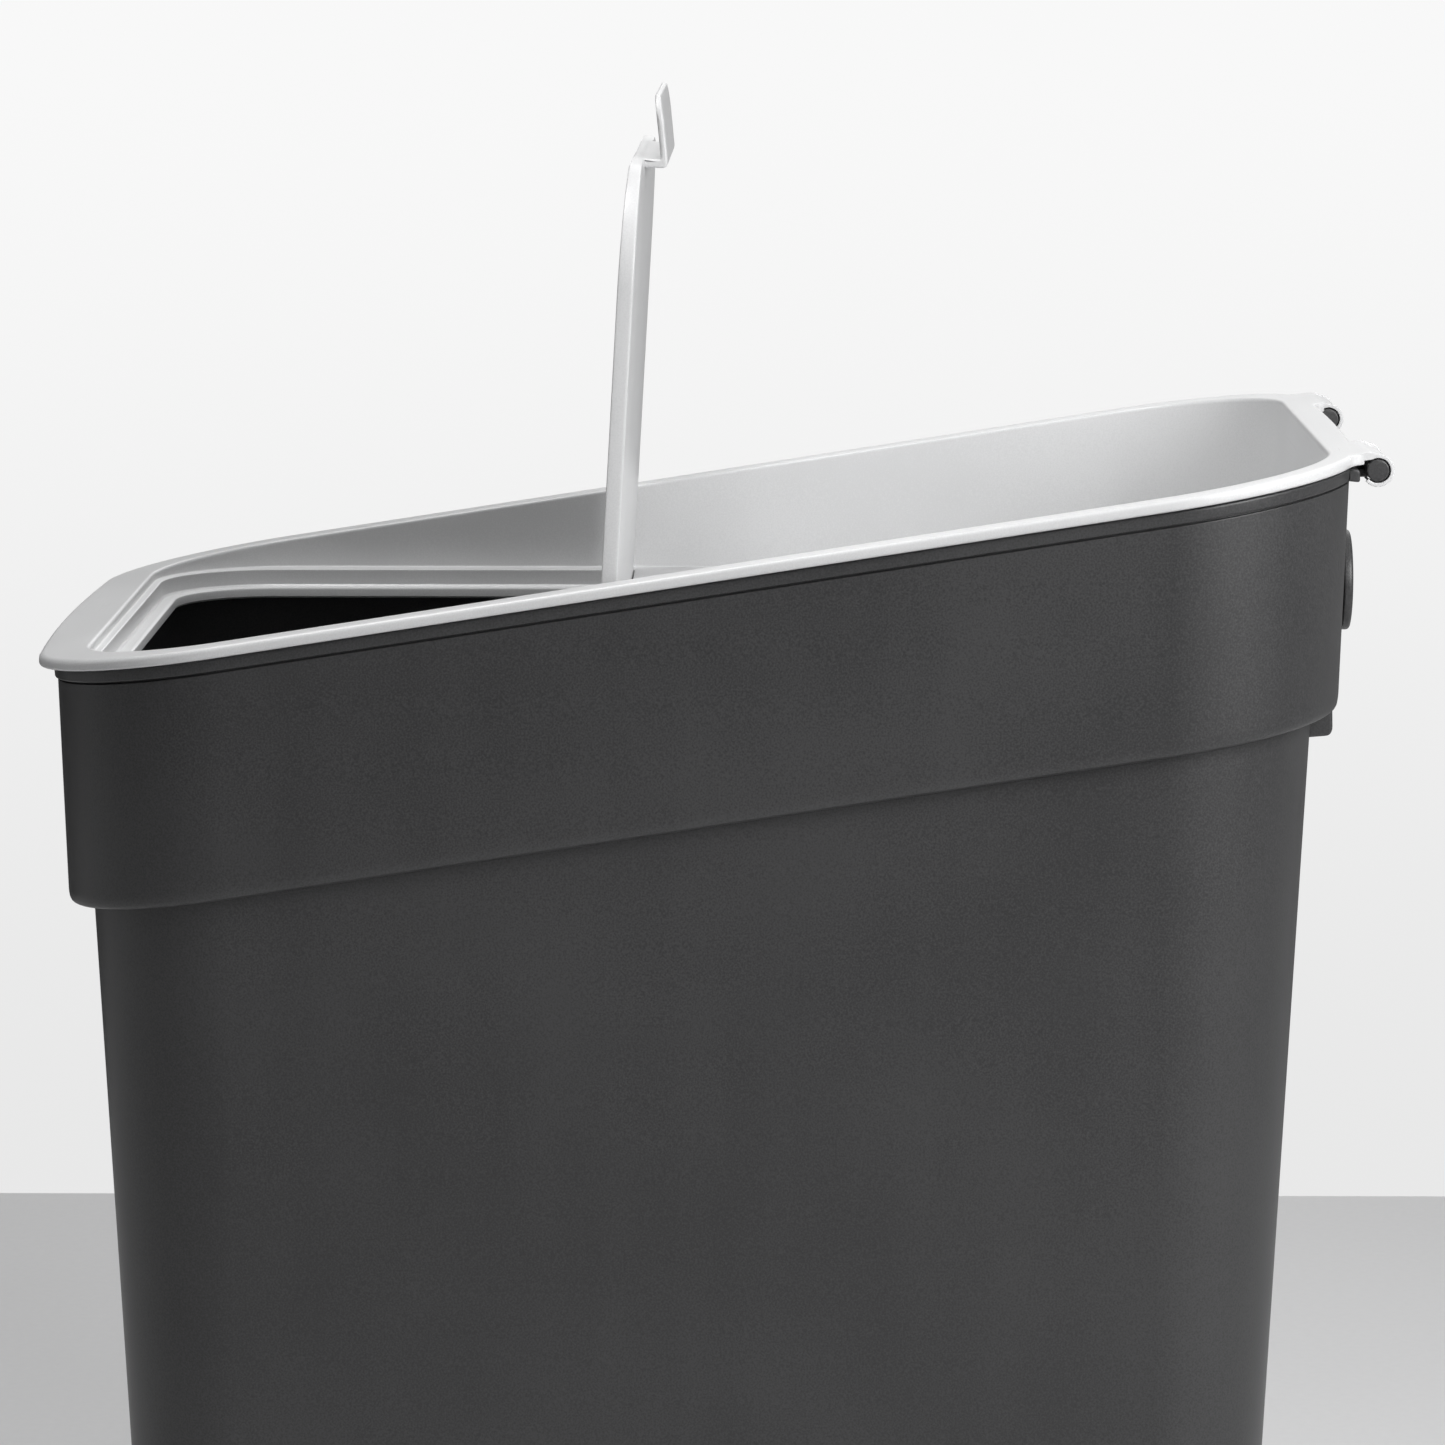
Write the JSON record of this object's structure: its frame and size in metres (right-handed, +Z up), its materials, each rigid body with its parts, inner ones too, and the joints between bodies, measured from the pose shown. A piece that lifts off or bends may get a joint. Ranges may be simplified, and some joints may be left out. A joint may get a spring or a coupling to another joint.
{
  "type": "waste bin",
  "caption": "Slim free-standing waste bin: tapered bucket with a slanted rim, hinged lid frame with a level rear tray, and a lift-up front flap with a finger tab.",
  "frame": {"origin": "on the floor, below the middle of the whole object's box", "axes": "+Z up, -Y towards the flap and its finger tab, +Y towards the lid hinge, X across the bin"},
  "size_m": [0.24, 0.3425, 0.4571],
  "materials": {
    "dark_plastic": "fine moulded grain, satin",
    "pale_plastic": "smooth satin"
  },
  "bodies": {
    "bucket": {"bucket": "dark_plastic", "hinge_bracket_left": "dark_plastic", "hinge_bracket_right": "dark_plastic", "rear_stud": "dark_plastic"},
    "lid": {"lid": "pale_plastic"},
    "flap": {"flap": "pale_plastic", "flap_pin_left": "dark_plastic", "flap_pin_right": "dark_plastic"}
  },
  "joints": [
    {"name": "lid_hinge", "type": "hinge", "parent": "bucket", "child": "lid", "pos_m": [0, 0.16715, 0.3655], "axis": [-1, 0, 0], "range_deg": [0, 100]},
    {"name": "flap_hinge", "type": "hinge", "parent": "lid", "child": "flap", "pos_m": [0, -0.02555, 0.3155], "axis": [1, 0, 0], "range_deg": [0, 93.3]}
  ]
}
